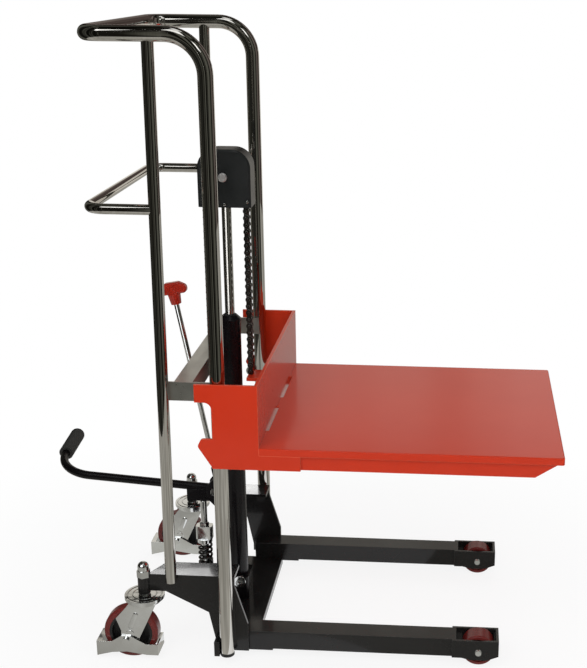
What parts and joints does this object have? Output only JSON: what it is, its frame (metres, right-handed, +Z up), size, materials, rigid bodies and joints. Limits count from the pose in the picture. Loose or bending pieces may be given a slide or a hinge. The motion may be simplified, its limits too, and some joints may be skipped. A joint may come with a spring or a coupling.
{
  "type": "hand pallet stacker",
  "caption": "Manual platform stacker: chrome tube mast with push bar, foot-pump ram with chain head, red lifting platform, straddle legs, swivel casters and front rollers.",
  "frame": {"origin": "centre of the bounding box's footprint, on the floor under the wheels", "axes": "+X forward, the way the platform and legs point; +Y to the operator's left; +Z up"},
  "size_m": [1.2231, 0.5778, 1.411],
  "materials": {
    "chrome_tube": "bright chrome plate",
    "chrome_rod": "ground and chromed",
    "plated_brace": "zinc-plated sheet",
    "black_frame": "gloss black paint",
    "black_pump": "satin black paint",
    "red_paint": "gloss red-orange paint",
    "zinc": "bright zinc plate",
    "caster_core_black": "moulded nylon",
    "red_polyurethane": "cast polyurethane, smooth",
    "cover_black": "moulded, semi-matt",
    "oiled_steel": "dark oiled steel",
    "roller_steel": "turned steel",
    "grip_rubber": "matt rubber",
    "cap_black": "moulded plug",
    "knob_red": "moulded, glossy",
    "spring_steel": "bright wire"
  },
  "bodies": {
    "frame": {"left_mast_tube": "chrome_tube", "right_mast_tube": "chrome_tube", "top_push_bar": "chrome_tube", "left_rear_post": "chrome_tube", "right_rear_post": "chrome_tube", "push_handle": "chrome_tube", "mid_brace": "plated_brace", "left_side_plate": "black_frame", "right_side_plate": "black_frame", "caster_sockets": "black_frame", "left_leg": "black_frame", "right_leg": "black_frame", "left_wheel_fork": "black_frame", "right_wheel_fork": "black_frame", "front_axles": "zinc", "base_plate": "black_frame", "mast_foot_caps": "cap_black", "lift_cylinder": "black_pump", "cylinder_gland": "black_pump", "pump_block": "black_pump", "pump_bracket": "black_pump", "pedal_pivot_pin": "zinc", "caster_nuts": "zinc", "rear_chain_anchor": "oiled_steel", "caster_stems": "zinc", "rear_chain": "oiled_steel"},
    "ram": {"piston_rod": "chrome_rod", "head_frame": "oiled_steel", "head_cover": "cover_black", "sheave_axle": "zinc", "chain_wrap": "oiled_steel"},
    "sheave": {"chain_sheave": "oiled_steel"},
    "carriage": {"left_carriage_plate": "red_paint", "right_carriage_plate": "red_paint", "carriage_front_plate": "red_paint", "platform_tray": "red_paint", "fork_rails": "red_paint", "front_chain_anchor": "red_paint", "roller_axles": "zinc", "front_chain": "oiled_steel"},
    "upper_rollers": {"upper_guide_rollers": "roller_steel"},
    "rear_rollers": {"rear_guide_rollers": "roller_steel"},
    "lower_rollers": {"lower_guide_rollers": "roller_steel"},
    "left_wheel": {"left_front_wheel": "red_polyurethane"},
    "right_wheel": {"right_front_wheel": "red_polyurethane"},
    "left_swivel": {"left_caster_fork": "zinc"},
    "left_caster": {"left_caster_core": "caster_core_black", "left_caster_tyre": "red_polyurethane"},
    "left_brake": {"left_caster_brake": "zinc"},
    "right_swivel": {"right_caster_fork": "zinc"},
    "right_caster": {"right_caster_core": "caster_core_black", "right_caster_tyre": "red_polyurethane"},
    "right_brake": {"right_caster_brake": "zinc"},
    "pedal": {"foot_pedal": "black_pump", "pedal_grip": "grip_rubber"},
    "plunger": {"pump_plunger": "zinc", "push_rod": "zinc", "pump_spring": "spring_steel"},
    "release": {"release_rod": "zinc", "release_knob": "knob_red"}
  },
  "joints": [
    {"name": "ram_lift", "type": "slide", "parent": "frame", "child": "ram", "axis": [0, 0, 1], "range_m": [-0.2265, 0.31], "deforming": ["rear_chain"]},
    {"name": "carriage_lift", "type": "slide", "parent": "ram", "child": "carriage", "axis": [0, 0, 1], "range_m": [-0.2275, 0.311], "deforming": ["front_chain"]},
    {"name": "sheave_spin", "type": "hinge", "parent": "ram", "child": "sheave", "pos_m": [-0.14895, 0, 1.0745], "axis": [0, 1, 0], "range_deg": [-394, 289]},
    {"name": "upper_rollers_spin", "type": "hinge", "parent": "carriage", "child": "upper_rollers", "pos_m": [-0.15145, 0, 0.652], "axis": [0, 1, 0], "range_deg": [-3249, 4445]},
    {"name": "rear_rollers_spin", "type": "hinge", "parent": "carriage", "child": "rear_rollers", "pos_m": [-0.15145, 0, 0.526], "axis": [0, 1, 0], "range_deg": [-3249, 4445]},
    {"name": "lower_rollers_spin", "type": "hinge", "parent": "carriage", "child": "lower_rollers", "pos_m": [-0.10345, 0, 0.512], "axis": [0, 1, 0], "range_deg": [-4445, 3249]},
    {"name": "left_wheel_spin", "type": "hinge", "parent": "frame", "child": "left_wheel", "pos_m": [0.44355, 0.215, 0.037], "axis": [0, 1, 0], "continuous": true},
    {"name": "right_wheel_spin", "type": "hinge", "parent": "frame", "child": "right_wheel", "pos_m": [0.44355, -0.215, 0.037], "axis": [0, 1, 0], "continuous": true},
    {"name": "left_caster_swivel", "type": "hinge", "parent": "frame", "child": "left_swivel", "pos_m": [-0.31745, 0.244, 0.148], "axis": [0, 0, 1], "continuous": true},
    {"name": "left_caster_spin", "type": "hinge", "parent": "left_swivel", "child": "left_caster", "pos_m": [-0.35045, 0.244, 0.0625], "axis": [0, 1, 0], "continuous": true},
    {"name": "left_brake_tilt", "type": "hinge", "parent": "left_swivel", "child": "left_brake", "pos_m": [-0.35945, 0.244, 0.048], "axis": [0, 1, 0], "range_deg": [0, 8]},
    {"name": "right_caster_swivel", "type": "hinge", "parent": "frame", "child": "right_swivel", "pos_m": [-0.31745, -0.244, 0.148], "axis": [0, 0, 1], "continuous": true},
    {"name": "right_caster_spin", "type": "hinge", "parent": "right_swivel", "child": "right_caster", "pos_m": [-0.35045, -0.244, 0.0625], "axis": [0, 1, 0], "continuous": true},
    {"name": "right_brake_tilt", "type": "hinge", "parent": "right_swivel", "child": "right_brake", "pos_m": [-0.35945, -0.244, 0.048], "axis": [0, 1, 0], "range_deg": [0, 8]},
    {"name": "pedal_stroke", "type": "hinge", "parent": "frame", "child": "pedal", "pos_m": [-0.19945, 0, 0.31], "axis": [0, 1, 0], "range_deg": [-25, 0], "stiffness_Nm_per_rad": 20, "springref_deg": 28.65},
    {"name": "plunger_stroke", "type": "slide", "parent": "frame", "child": "plunger", "axis": [0, 0, 1], "range_m": [-0.02, 0], "deforming": ["pump_spring"]},
    {"name": "release_turn", "type": "hinge", "parent": "frame", "child": "release", "pos_m": [-0.20145, 0.025, 0.338], "axis": [-0.1803, 0, 0.9836], "range_deg": [0, 60]}
  ],
  "couplings": [
    {"joint": "carriage_lift", "follows": "ram_lift", "ratio": 1},
    {"joint": "sheave_spin", "follows": "ram_lift", "rad_per_m": -21.877},
    {"joint": "upper_rollers_spin", "follows": "ram_lift", "rad_per_m": 250},
    {"joint": "rear_rollers_spin", "follows": "ram_lift", "rad_per_m": 250},
    {"joint": "lower_rollers_spin", "follows": "ram_lift", "rad_per_m": -250},
    {"joint": "plunger_stroke", "follows": "pedal_stroke", "m_per_rad": 0.0447}
  ]
}
